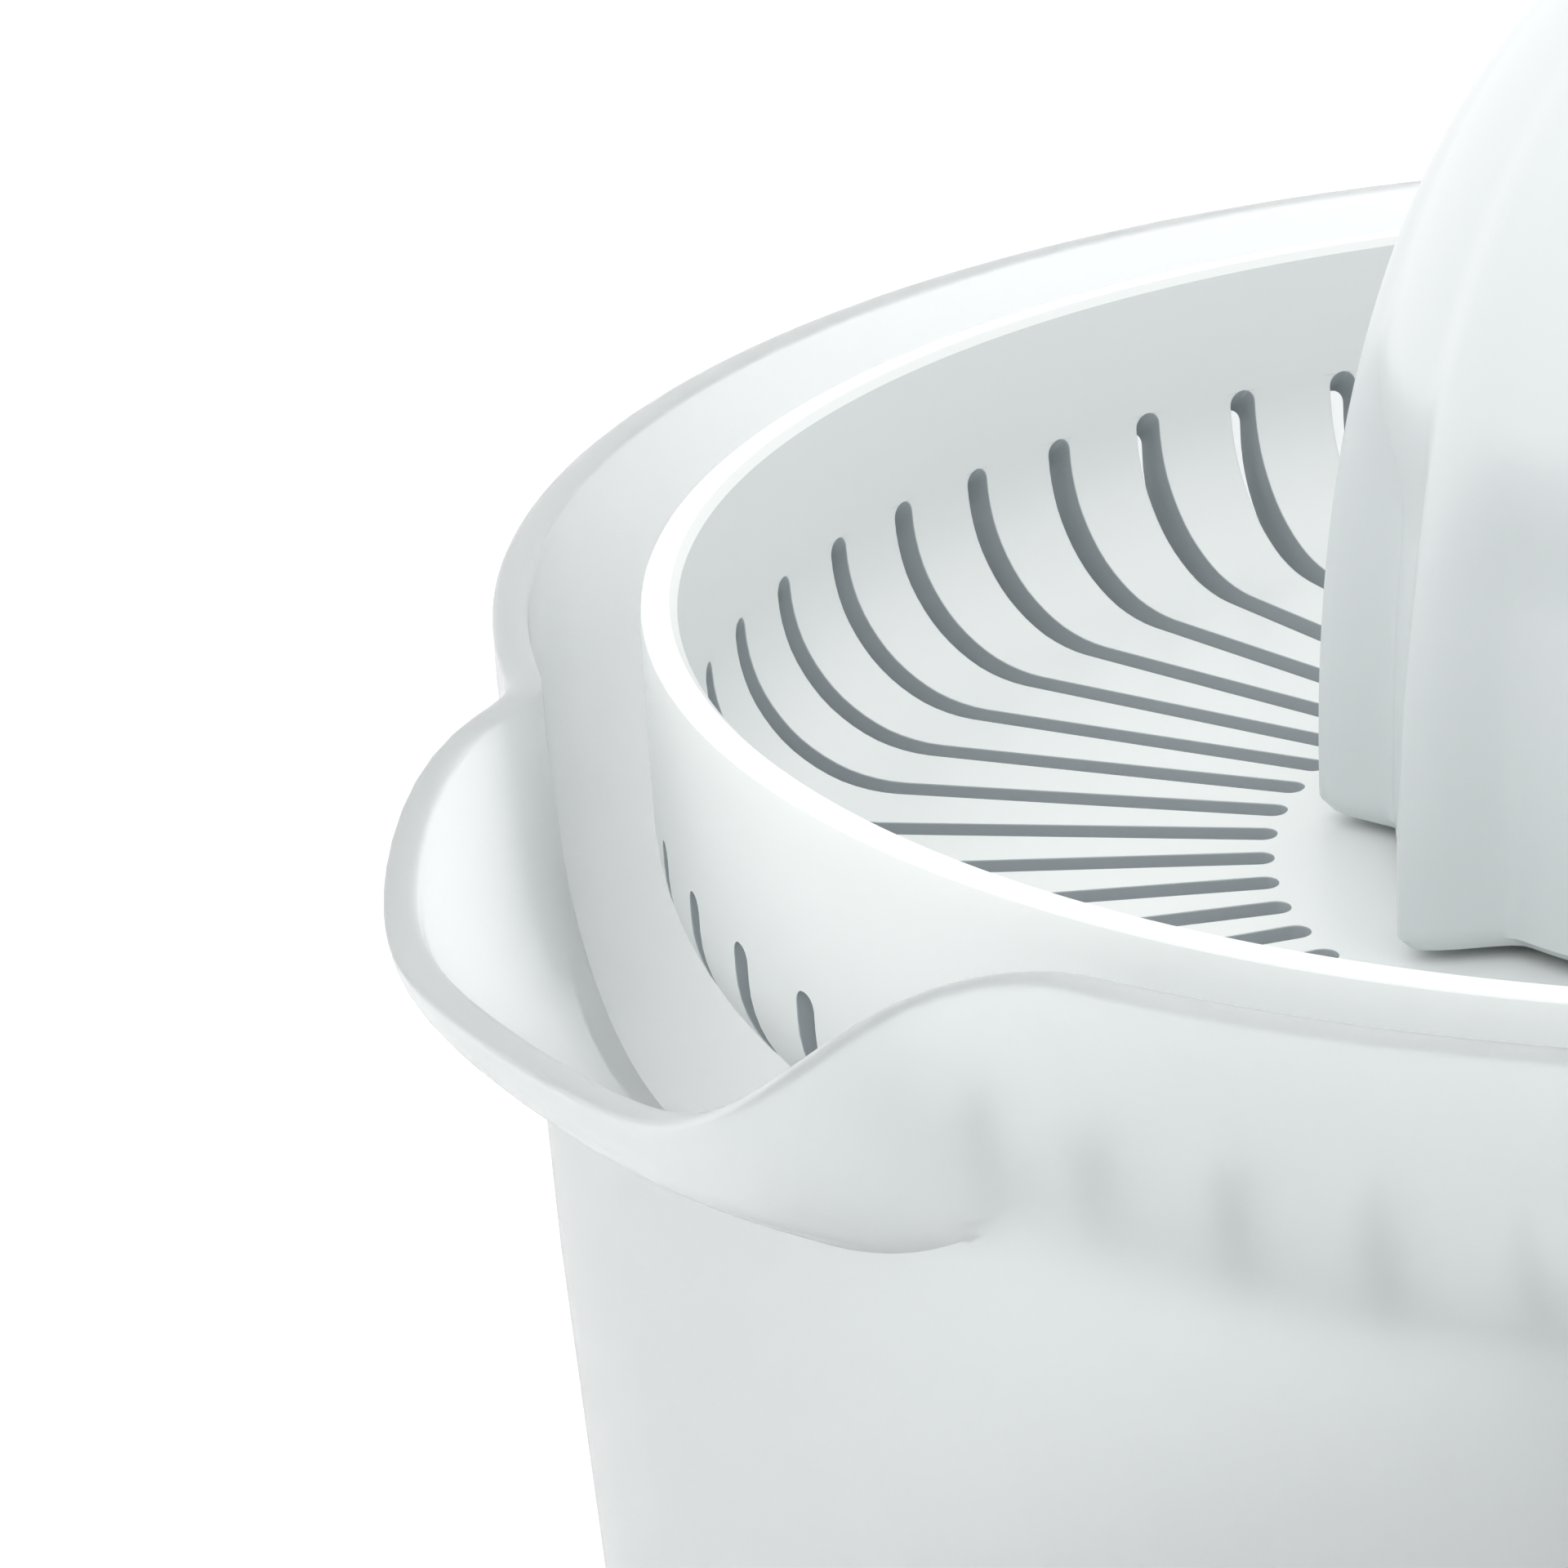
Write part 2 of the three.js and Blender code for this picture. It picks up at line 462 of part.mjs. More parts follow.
/** Slotted basket: upright wall, wide bend, floor, low hub cone and a sleeve over the jug's tube. */
function strainer() {
  const floor = RIM_Z - STRAINER_DEPTH;
  const under = floor - STRAINER_WALL;
  const sleeve = JUG_TUBE_BORE + 2.5;
  const seat = JUG_TUBE_TOP + GAP;
  const profile = [
    [COLLAR_BORE, seat], [sleeve, seat], [sleeve, under - SLEEVE_LENGTH],
    [sleeve + SLEEVE_WALL, under - SLEEVE_LENGTH], [sleeve + SLEEVE_WALL, under],
    ...quarterBend(STRAINER_RADIUS - OUTER_BEND, under + OUTER_BEND, OUTER_BEND, [90, 60, 30, 0]),
    [STRAINER_RADIUS, RIM_Z - 0.4], [STRAINER_RADIUS - 0.4, RIM_Z], [STRAINER_INNER + 0.4, RIM_Z],
    [STRAINER_INNER, RIM_Z - 0.4],
    ...quarterBend(STRAINER_INNER - INNER_BEND, floor + INNER_BEND, INNER_BEND, [0, 30, 60, 90]),
    [HUB_RADIUS, floor], [COLLAR_RADIUS, floor + HUB_RISE], [COLLAR_RADIUS, COLLAR_TOP],
    [COLLAR_BORE, COLLAR_TOP], [COLLAR_BORE, seat]];
  const shell = lathe(profile, SLOTS).rotateZ(Math.PI / SLOTS + SLOT_PHASE);
  const cutter = slotCutter();
  const cutters = Array.from({ length: SLOTS }, (_, i) =>
    cutter.clone().rotateZ(SLOT_PHASE + i * 2 * Math.PI / SLOTS));
  return cut(shell, cutters);
}

// ---- Reamers -------------------------------------------------------------------------------
/** Radius of a reamer's crest at a fraction of its height. */
const crest = (reamer, t) => reamer.radius * Math.sqrt(Math.max(0, 1 - t ** reamer.power));

/** Dome with eight upright ribs and the flutes between them; the inside is given from the top down. */
function ribbedDome(reamer, inside) {
  const levels = [0, 0.14, 0.3, 0.42, 0.54, 0.71, 0.85, 0.95, 1];
  const outside = levels.map((t) => [crest(reamer, t), reamer.bottom + t * reamer.height]).reverse();
  const profile = [...outside, ...inside];
  return lathe(profile, RIBS * 6, (r, angle, z, index) => {
    const t = clamp((z - reamer.bottom) / reamer.height);
    const flute = smooth(Math.min(1, Math.abs(Math.sin(RIBS / 2 * angle)) / FLUTE_EDGE));
    const deep = 1 - smooth(clamp((t - FLUTE_FADE) / FADE_LENGTH));
    const depth = reamer.depth * (FADED_DEPTH + (1 - FADED_DEPTH) * deep) * (1 - t ** 3);
    return [index < outside.length ? r * (1 - depth * flute) : r, angle + RIB_PHASE, z];
  });
}

/** Small reamer: ribbed cone round a stem with the hexagonal socket for the spindle. */
function smallReamer() {
  const { bottom, height, radius } = SMALL_REAMER;
  const inside = [[radius * 0.83, bottom], [radius * 0.8, bottom + height * 0.3],
    [radius * 0.62, bottom + height * 0.62], [STEM_RADIUS + 1, bottom + height * 0.72],
    [STEM_RADIUS, bottom + height * 0.66], [STEM_RADIUS, bottom - 1.5], [0, bottom - 1.5]];
  const socket = lathe([[0, bottom - 3], [SOCKET_RADIUS, bottom - 3], [SOCKET_RADIUS, SPINDLE_TOP + 1.5],
    [0, SPINDLE_TOP + 1.5]], 6);
  return cut(ribbedDome(SMALL_REAMER, inside), [socket]);
}

/** Large reamer: a ribbed cap that drops over the small one. */
function largeReamer() {
  const levels = [0, 0.3, 0.6, 0.82, 0.95];
  const inside = levels.map((t) =>
    [crest(SMALL_REAMER, t) + 0.6, SMALL_REAMER.bottom + t * SMALL_REAMER.height + (t > 0.5 ? 0.6 : 0)]);
  const bottomInside = [inside[0][0], LARGE_REAMER.bottom];
  const ceiling = [0, SMALL_REAMER.bottom + SMALL_REAMER.height + 1];
  return ribbedDome(LARGE_REAMER, [bottomInside, ...inside.slice(1), ceiling]);
}

// ---- Scene ---------------------------------------------------------------------------------
const press = new THREE.Group();

function add(name, geometry, material, x = 0, y = 0) {
  const mesh = new THREE.Mesh(geometry, material);
  mesh.name = name;
  mesh.position.set(x, y, 0);
  press.add(mesh);
}

add('base_plate', basePlate(), blackPlastic);
around(4, FOOT_CIRCLE, Math.PI / 4).forEach(([x, y], i) => add(`foot_${i + 1}`, foot(), greyRubber, x, y));
around(4, SCREW_CIRCLE, SCREW_START).forEach(([x, y], i) => add(`plate_screw_${i + 1}`, plateScrew(), zincSteel, x, y));
add('motor_housing', motorHousing(), whiteShell);
add('cord_gland', cordGland(), whiteShell);
add('motor_can', motorCan(), zincSteel);
add('motor_coil', motorCoil(), copper);
add('motor_endplate', motorEndplate(), zincSteel);
add('motor_rotor', motorRotor(), ferrite);
add('idler_pin', idlerPin(), steel);
add('idler_gear', idlerGear(), whiteNylon);
add('output_gear', outputGear(), whiteNylon);
add('drive_spindle', driveSpindle(), steel);
add('lower_bush', lowerBush(), bronze);
add('upper_bush', upperBush(), bronze);
add('spindle_seal', spindleSeal(), greyRubber);
add('bearing_bridge', bearingBridge(), zincSteel);
around(3, STANDOFF_CIRCLE, STANDOFF_START).forEach(([x, y], i) => add(`standoff_${i + 1}`, standoff(), zincSteel, x, y));
add('thrust_collar', thrustCollar(), whiteNylon);
add('return_spring', returnSpring(), steel);
add('switch_body', switchBody(), blackPlastic);
add('switch_plunger', switchPlunger(), whiteNylon);
add('juice_jug', juiceJug(), milkyJug);
add('strainer', strainer(), whiteShell);
add('small_reamer', smallReamer(), whiteShell);
add('large_reamer', largeReamer(), whiteShell);

export default press;
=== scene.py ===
"""Electric citrus press: the looks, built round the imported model.

Shapes are worked out in millimetres, in the model's own frame: +Z up along the spindle, the pouring
spout along -X and the handle along +X. Every surface is a numpy grid, and mesh() turns it to metres.
"""

import bmesh
import bpy
import numpy as np
from mathutils import Matrix, Vector


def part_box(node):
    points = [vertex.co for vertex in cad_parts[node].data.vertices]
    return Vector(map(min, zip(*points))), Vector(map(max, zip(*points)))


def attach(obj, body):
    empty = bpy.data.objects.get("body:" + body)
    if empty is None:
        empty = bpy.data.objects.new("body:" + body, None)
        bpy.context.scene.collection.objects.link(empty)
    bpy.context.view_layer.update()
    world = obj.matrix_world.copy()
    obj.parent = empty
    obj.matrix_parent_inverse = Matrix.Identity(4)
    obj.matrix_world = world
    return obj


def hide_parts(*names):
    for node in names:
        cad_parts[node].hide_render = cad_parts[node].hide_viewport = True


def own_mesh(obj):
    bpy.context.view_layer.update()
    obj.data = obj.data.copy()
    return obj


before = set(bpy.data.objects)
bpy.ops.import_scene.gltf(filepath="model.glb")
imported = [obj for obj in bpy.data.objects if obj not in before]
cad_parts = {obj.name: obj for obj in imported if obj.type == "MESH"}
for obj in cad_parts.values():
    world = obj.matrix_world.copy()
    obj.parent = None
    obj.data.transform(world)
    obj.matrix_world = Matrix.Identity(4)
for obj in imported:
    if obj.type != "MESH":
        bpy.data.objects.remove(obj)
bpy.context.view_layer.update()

MM = 0.001
TURN = 2 * np.pi


def span(node):
    """A node's lowest and highest corners, in millimetres."""
    low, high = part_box(node)
    return np.array(low) / MM, np.array(high) / MM


# ---- Sizes, from the model -------------------------------------------------------------------
JUG_LOW, JUG_HIGH = span("juice_jug")
BASKET_LOW, BASKET_HIGH = span("strainer")
HOUSING_LOW, HOUSING_HIGH = span("motor_housing")
CAP_LOW, CAP_HIGH = span("large_reamer")
CONE_LOW, CONE_HIGH = span("small_reamer")
FOOT_LOW, FOOT_HIGH = span("foot_1")

RIM_Z = BASKET_HIGH[2]              # top of the strainer's rim
RIM_R = BASKET_HIGH[0]
JUG_RIM_Z = JUG_HIGH[2]
JUG_R = 78.6                        # jug's rim circle
JUG_WALL = 2.1
SPOUT_HALF = np.radians(22)         # half the spout's width, as an angle
SPOUT_REACH = 11.8                  # how far the lip stands out from the rim circle
SPOUT_DIP = 8.4                     # how far the lip hangs below the rim
SPOUT_DEPTH = 20.3                  # where the pocket leaves the wall, below the rim
SPOUT_RISE = 11.8                   # how much higher the pocket's foot is at its roots
SPOUT_CROWDING = 0.55               # how strongly the wall's columns gather at the spout
SPOUT_EDGE = 6                      # powers that shape the spout from its middle to its roots
REACH_POWER = 4.7
DIP_POWER = 14
PLAIN_WALL = 40.0                   # this far below the rim the wall is plain all round
FLOOR_R = 60.0                      # nothing within this radius is moved by the spout
JUG_SIDE = np.array([               # the jug's outer wall, as radius and height
    (73.8, 80.3), (75.3, 88), (77.6, 134.85), (78.1, 154.55), (78.3, 160.85), (78.45, 166.85),
    (78.6, 171.35), (78.6, 174.85)])

SLOTS = 54
SLOT_WIDTH = 1.9
SLOT_START_R = 32.6
SLOT_TOP = 9.1                      # slot's upper end inside, below the rim
SLOT_TOP_OUT = 11.2                 # and outside
SLOT_PHASE = np.radians(4.27)
BASKET_DEPTH = 20.05
BASKET_WALL = 2.0

BASKET_INNER_R = 67.7
OUTLINE_ROUND = 0.35                # fillets of the strainer's rim
EDGE_BREAK = 0.15                   # bevel of the slots' edges
OUTLINE_STEP = 0.5

RIBS = 8
RIB_COLUMNS = 36                    # columns of the grid to each rib
RIB_PHASE = np.radians(-2.8)
CREST_POWER = 2.25                  # of the dome's outline
FLUTE_EDGE = 0.62                   # |sin(4 angle)| at which a rib has fallen to its flute
FLUTE_TOP = 0.34                    # the flutes are deep up to this share of the height,
FLUTE_FADE = 0.2                    # fade over this share above it,
FLUTE_REST = 0.3                    # and keep this share of their depth
LARGE_R = 30.4
SMALL_R = 23
SMALL_BOTTOM = RIM_Z - 16.5
EDGE_ROUND = 0.8                    # of the reamers' bottom edges

LAMP_AIM = 0.15                     # metres up the spindle's axis, in the jug's upper half
CREASE = np.radians(38)             # a sharper fold than this is shaded as an edge
DOUBLES = 2e-6                      # metres: vertices nearer than this are one


# ---- Surfaces --------------------------------------------------------------------------------
def rounded(corners, steps=7):
    """An outline through (r, z, fillet) corners, each corner with a fillet replaced by its arc.

    The arc leaves each side at fillet * tan(turn / 2) from the corner and is swept in equal angles.
    """
    points = np.array([(r, z) for r, z, _ in corners], float)
    parts = []
    for i, (r, z, fillet) in enumerate(corners):
        here = points[i]
        if fillet == 0 or i in (0, len(corners) - 1):
            parts.append(here[None])
            continue
        back, ahead = points[i - 1] - here, points[i + 1] - here
        back, ahead = back / np.linalg.norm(back), ahead / np.linalg.norm(ahead)
        half = np.arccos(np.clip(back @ ahead, -1, 1)) / 2
        reach = fillet / np.tan(half)
        middle = (back + ahead) / np.linalg.norm(back + ahead)
        centre = here + middle * fillet / np.sin(half)
        first, last = here + back * reach - centre, here + ahead * reach - centre
        a0 = np.arctan2(first[1], first[0])
        sweep = (np.arctan2(last[1], last[0]) - a0 + np.pi) % TURN - np.pi
        angle = a0 + sweep * np.linspace(0, 1, steps)
        parts.append(centre + fillet * np.column_stack((np.cos(angle), np.sin(angle))))
    return np.concatenate(parts)


def dense(outline, step):
    """The same outline with its long straight stretches divided to at most step."""
    parts = [outline[:1]]
    for start, end in zip(outline[:-1], outline[1:]):
        count = max(1, int(np.ceil(np.linalg.norm(end - start) / step)))
        t = np.linspace(0, 1, count + 1)[1:, None]
        parts.append(start + (end - start) * t)
    return np.concatenate(parts)


def grid_faces(rows, columns):
    """Quads of a rows by columns grid numbered along the rows, its last column joined to its first."""
    i = np.arange(rows - 1)[:, None]
    j = np.arange(columns)[None]
    k = (j + 1) % columns
    quads = np.stack(np.broadcast_arrays(i * columns + j, i * columns + k,
                                         (i + 1) * columns + k, (i + 1) * columns + j), -1)
    return quads.reshape(-1, 4)


def mesh(name, vertices, faces, body, replaced=(), second_from=None):
    """A piece from millimetre vertices and quads: doubles merged, empty faces gone, riding on body.

    Faces from second_from on take the piece's second material.
    """
    data = bpy.data.meshes.new(name)
    data.from_pydata((np.asarray(vertices, float) * MM).tolist(), [], np.asarray(faces).tolist())
    if second_from is not None:
        second = np.arange(len(faces)) >= second_from
        data.polygons.foreach_set("material_index", second.astype(np.int32))
    work = bmesh.new()
    work.from_mesh(data)
    bmesh.ops.remove_doubles(work, verts=work.verts, dist=DOUBLES)
    bmesh.ops.dissolve_degenerate(work, edges=work.edges, dist=DOUBLES / 2)
    bmesh.ops.recalc_face_normals(work, faces=work.faces)
    work.to_mesh(data)
    work.free()
    data.polygons.foreach_set("use_smooth", np.ones(len(data.polygons), bool))
    data.set_sharp_from_angle(angle=CREASE)
    piece = bpy.data.objects.new(name, data)
    bpy.context.scene.collection.objects.link(piece)
    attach(piece, body)
    if replaced:
        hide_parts(*replaced)
    return piece


def turned(outline, columns=160, bend=None):
    """Vertices and quads of an outline carried round +Z; bend(r, angle, z) moves the whole grid."""
    angle = np.arange(columns) * TURN / columns
    r, z = (np.repeat(outline[:, i:i + 1], columns, 1) for i in (0, 1))
    a = np.repeat(angle[None], len(outline), 0)
    if bend:
        r, a, z = bend(r, a, z)
    vertices = np.stack((r * np.cos(a), r * np.sin(a), z), -1).reshape(-1, 3)
    return vertices, grid_faces(len(outline), columns)


def together(*shells):
    """Several (vertices, faces) shells as one."""
    vertices, faces, count = [], [], 0
    for points, quads in shells:
        vertices.append(points)
        faces.append(quads + count)
        count += len(points)
    return np.concatenate(vertices), np.concatenate(faces)


def closed_loops(loops):
    """Vertices and quads of a row of loops, with each end drawn together at its middle."""
    columns = loops.shape[1]
    ends = [np.repeat(loop.mean(0)[None, None], columns, 1) for loop in (loops[0], loops[-1])]
    loops = np.concatenate((ends[0], loops, ends[1]))
    return loops.reshape(-1, 3), grid_faces(len(loops), columns)


def smooth(x):
    """3x^2 - 2x^3, held at 0 and 1."""
    x = np.clip(x, 0, 1)
    return x * x * (3 - 2 * x)


# ---- Jug -------------------------------------------------------------------------------------
def spout(r, a, z):
    """Pulls the wall into the pouring spout.

    across runs 0 to 1 from the spout's middle to its roots. The wall's rows are first moved so that one
    runs along the pocket's foot, which rises by rise across^3 towards the roots. From there up, with
    height running 0 to 1, the wall moves out by reach (1 - across^6)^4.7 sin(90 deg height) and sinks
    by dip (1 - across^6)^14 height. Columns are crowded towards the spout.
    """
    a = np.pi + a - SPOUT_CROWDING * np.sin(a)
    across = np.minimum(np.abs(a % TURN - np.pi) / SPOUT_HALF, 1)
    plain, base = JUG_RIM_Z - PLAIN_WALL, JUG_RIM_Z - SPOUT_DEPTH
    foot = base + SPOUT_RISE * across ** 3
    height = np.clip((z - base) / SPOUT_DEPTH, 0, 1)
    below = plain + (z - plain) * (foot - plain) / (base - plain)
    moved = np.where(z < base, below, foot + (JUG_RIM_Z - foot) * height)
    moved = np.where((r < FLOOR_R) | (z <= plain), z, moved)
    height = np.where(r < FLOOR_R, 0, height)
    side_r, side_z = JUG_SIDE.T
    taper = np.interp(moved, side_z, side_r) - np.interp(z, side_z, side_r)
    reach = SPOUT_REACH * (1 - across ** SPOUT_EDGE) ** REACH_POWER * np.sin(height * np.pi / 2)
    dip = SPOUT_DIP * (1 - across ** SPOUT_EDGE) ** DIP_POWER * height
    return r + taper + reach, a, moved - dip


def jug_outline():
    """Closed outline of the jug: centre tube, floor, foot ring, tapered wall and rounded rim."""
    bottom, rim, floor = JUG_LOW[2], JUG_RIM_Z, 85.0
    under = floor - 2.4
    bore, tube, tube_top = 13.4, 15.4, RIM_Z - 20.8
    outside = [(r, z, 0) for r, z in JUG_SIDE[2:-1]]
    inside = [(r - JUG_WALL, z, 0) for r, z, _ in reversed(outside)]
    return rounded([
        (bore, under, 0), (69.5, under, 0.6), (70.4, bottom, 0.5), (73, bottom, 1.6),
        (75.3, 88, 10), *outside, (JUG_R, rim, 1.0), (JUG_R - JUG_WALL, rim, 1.0), *inside, (73.2, 88, 10),
        (71.2, floor, 4), (tube, floor, 2.5), (tube, tube_top, 0.8), (bore, tube_top, 0.8),
        (bore, under, 0)], steps=9)


def handle_shell():
    """Handle: an oval carried along a loop of two cubic Bezier curves and a straight run into the wall.

    The oval is a superellipse of exponent 2.6, 17.6 by 8 mm, and widens by a fifth at its two roots.
    """
    exponent, half_width, half_thickness = 2.6, 8.8, 4
    widening, root_length, columns = 0.2, 12, 48
    knots = np.array([[76.4, 165.5], [92, 166.5], [110.5, 160], [110.5, 141], [110.5, 122], [107, 102],
                      [92, 98.5], [74.4, 96.5]])
    t = np.linspace(0, 1, 28)[:, None]
    curves = [(1 - t) ** 3 * p[0] + 3 * t * (1 - t) ** 2 * p[1] + 3 * t ** 2 * (1 - t) * p[2] + t ** 3 * p[3]
              for p in (knots[0:4], knots[3:7])]
    path = np.concatenate((curves[0], curves[1][1:], knots[6] + (knots[7] - knots[6]) * t[4::4]))
    along = np.gradient(path, axis=0)
    along /= np.linalg.norm(along, axis=1)[:, None]
    run = run_along(path)
    flare = 1 + widening * (1 - smooth(np.minimum(run, run[-1] - run) / root_length))[:, None]
    angle = np.arange(columns) * TURN / columns
    wide, thick = (np.sign(w) * np.abs(w) ** (2 / exponent) for w in (np.sin(angle), np.cos(angle)))
    x = path[:, :1] - along[:, 1:] * thick * half_thickness * flare
    z = path[:, 1:] + along[:, :1] * thick * half_thickness * flare
    return closed_loops(np.stack((x, wide * half_width * flare, z), -1))


def juice_jug():
    """The jug with its spout, and the handle as a closed shell whose two ends sink into its wall.

    The upper end comes out of the wall's inner face by up to 0.3 mm.
    """
    wall = turned(dense(jug_outline(), 1.6), 240, spout)
    return mesh("jug_with_spout", *together(wall, handle_shell()), "jug", ["juice_jug"])


# ---- Strainer --------------------------------------------------------------------------------
def run_along(outline):
    """Distance along an outline to each of its points."""
    return np.r_[0, np.cumsum(np.linalg.norm(np.diff(outline, axis=0), axis=1))]


def resampled(outline, rows):
    """Points of an outline at the given distances along it."""
    run = run_along(outline)
    return np.column_stack([np.interp(rows, run, outline[:, i]) for i in (0, 1)])


def reached(outline, axis, value, within):
    """Distance along an outline at which its radius (axis 0) or height (axis 1) has a value.

    Only the stretch between the two distances in within is searched.
    """
    run = run_along(outline)
    part = (run >= within[0]) & (run <= within[1])
    order = np.argsort(outline[part, axis])
    return np.interp(value, outline[part, axis][order], run[part][order])


def slot_rows(start, end, half, between):
    """Distances along a slot and its half width there: half sqrt(1 - (1 - d / half)^2) near its ends."""
    quarter = half * (1 - np.cos(np.linspace(0, np.pi / 2, 7)))
    rows = np.concatenate((start + quarter, np.linspace(start + half, end - half, between)[1:-1],
                           end - quarter[::-1]))
    near = np.clip(np.minimum(rows - start, end - rows) / half, 0, 1)
    return rows, half * np.sqrt(1 - (1 - near) ** 2)


def strainer_basket():
    """Slotted basket as 54 equal bars laid side by side, with a sleeve over the jug's centre tube.

    A closed outline runs up the inside, over the rim, down the outside and round the sleeve. Its rows
    inside and outside pair up along the slots. Each bar covers the angle pitch / 2 - w / r to either
    side of its middle, where w is the slot's half width at that row and 0 elsewhere. Where w is 0 the
    bars meet, and along the slots walls join the inner rows to the outer ones.
    """
    floor, under = RIM_Z - BASKET_DEPTH, RIM_Z - BASKET_DEPTH - BASKET_WALL
    seat, foot, tube_top = RIM_Z - 20.5, BASKET_LOW[2], RIM_Z - 14
    bore, tube, root = 11, 12.6, 22
    sleeve_in, sleeve_out = 15.9, 18.5
    inside = rounded([
        (bore, seat, 0), (bore, tube_top, 0.5), (tube, tube_top, 0.7), (tube, floor + 3, 1.4),
        (root, floor, 12), (BASKET_INNER_R, floor, 10), (BASKET_INNER_R, RIM_Z, OUTLINE_ROUND),
        (RIM_R - 1, RIM_Z, 0)], steps=14)
    outside = rounded([
        (RIM_R - 1, RIM_Z, 0), (RIM_R, RIM_Z, OUTLINE_ROUND), (RIM_R, under, 9), (sleeve_out, under, 1),
        (sleeve_out, foot, 0.7), (sleeve_in, foot, 0.7), (sleeve_in, seat, 0), (bore, seat, 0)], steps=14)
    inside, outside = dense(inside, OUTLINE_STEP), dense(outside, OUTLINE_STEP)
    length_in, length_out = (np.linalg.norm(np.diff(o, axis=0), axis=1).sum() for o in (inside, outside))
    floor_in, wall_in = (12, 60), (length_in - 22, length_in - 3)
    wall_out, floor_out = (2, 20), (30, 72)
    first = reached(inside, 0, SLOT_START_R, floor_in)
    last = reached(inside, 1, RIM_Z - SLOT_TOP, wall_in)
    rows_in, width = slot_rows(first, last, SLOT_WIDTH / 2, 44)
    top = reached(outside, 1, RIM_Z - SLOT_TOP_OUT, wall_out)
    start_out = reached(outside, 0, SLOT_START_R, floor_out)
    rows_out = np.interp(rows_in, (first, last), (start_out, top))
    before = np.linspace(0, first, 26)[:-1]
    over = np.linspace(last, length_in, 14)[1:]
    down = np.linspace(0, top, 14)[1:-1]
    after = np.linspace(start_out, length_out, 34)[1:]
    closed = np.concatenate((
        resampled(inside, np.concatenate((before, rows_in, over))),
        resampled(outside, np.concatenate((down, rows_out[::-1], after)))))
    in_at = len(before) + np.arange(len(rows_in))
    out_at = len(before) + len(rows_in) + len(over) + len(down) + np.arange(len(rows_in))[::-1]
    widths = np.zeros(len(closed))
    widths[in_at] = width
    widths[out_at] = width
    columns, pitch = 6, TURN / SLOTS
    middle = (SLOT_PHASE + pitch / 2 + np.arange(SLOTS) * pitch)[None, :, None]
    reach = (pitch / 2 - widths / closed[:, 0])[:, None, None]
    angle = middle + np.linspace(-1, 1, columns) * reach
    r = closed[:, 0][:, None, None]
    z = np.broadcast_to(closed[:, 1][:, None, None], angle.shape)
    grid = np.stack((r * np.cos(angle), r * np.sin(angle), z), -1).reshape(-1, 3)
    across = SLOTS * columns
    quads = grid_faces(len(closed), across)
    quads = quads[(quads[:, 0] % across) % columns != columns - 1]
    edge = np.arange(SLOTS)[None] * columns
    sides = []
    for column in (edge, edge + columns - 1):
        i, o = in_at[:, None] * across + column, out_at[:, None] * across + column
        sides.append(np.stack((i[:-1], i[1:], o[1:], o[:-1]), -1).reshape(-1, 4))
    # The slots' side walls, from second_from on, take the second material, whose grey is painted shade.
    piece = mesh("slotted_strainer", grid, np.concatenate((quads, *sides)), "strainer", ["strainer"],
                 second_from=len(quads))
    edges = piece.modifiers.new("moulded edges", "BEVEL")
    edges.width = EDGE_BREAK * MM
    edges.segments = 2
    edges.limit_method = "ANGLE"
    edges.angle_limit = np.radians(50)
    return piece


# ---- Reamers ---------------------------------------------------------------------------------
def crest(radius, t):
    """A dome's radius over its ribs at the height fraction t: radius sqrt(1 - t^2.25)."""
    return radius * np.sqrt(np.clip(1 - t ** CREST_POWER, 0, 1))


def dome(radius, bottom, height, depth):
    """Ribbed dome grid, its ribs' crests following crest().

    Beside each of the eight ribs the radius falls by the share depth s(|sin(4 angle)| / 0.62), s being
    the smooth step, and stays there across the flute. The flutes are deep below t = 0.34, fade to 0.3
    of that at 0.54 and vanish at the tip by (1 - t^3). Rows crowd towards the tip as t = sin(u). The
    bottom edge is rounded by a quarter circle.
    """
    t = np.sin(np.linspace(0, np.pi / 2, 130))[:, None]
    columns = RIBS * RIB_COLUMNS
    angle = (np.arange(columns) * TURN / columns)[None]
    flute = smooth(np.abs(np.sin(RIBS / 2 * angle)) / FLUTE_EDGE)
    deep = 1 - smooth((t - FLUTE_TOP) / FLUTE_FADE)
    cut = depth * (FLUTE_REST + (1 - FLUTE_REST) * deep) * (1 - t ** 3)
    lip = EDGE_ROUND * (1 - np.sqrt(1 - np.clip(1 - t * height / EDGE_ROUND, 0, 1) ** 2))
    r = crest(radius, t) * (1 - cut * flute) - lip
    z = np.broadcast_to(bottom + t * height, r.shape)
    angle = angle + RIB_PHASE
    return np.stack((r * np.cos(angle), r * np.sin(angle), z), -1)


def reamer(name, outside, hollow, body, node):
    """A ribbed dome closed by its hollow, whose outline runs from the bottom edge in to the axis."""
    columns = outside.shape[1]
    angle = np.arange(columns) * TURN / columns + RIB_PHASE
    r, z = hollow[:, :1], np.repeat(hollow[:, 1:], columns, 1)
    inside = np.stack((r * np.cos(angle), r * np.sin(angle), z), -1)
    grid = np.concatenate((outside[::-1], inside))
    return mesh(name, grid.reshape(-1, 3), grid_faces(len(grid), columns), body, [node])


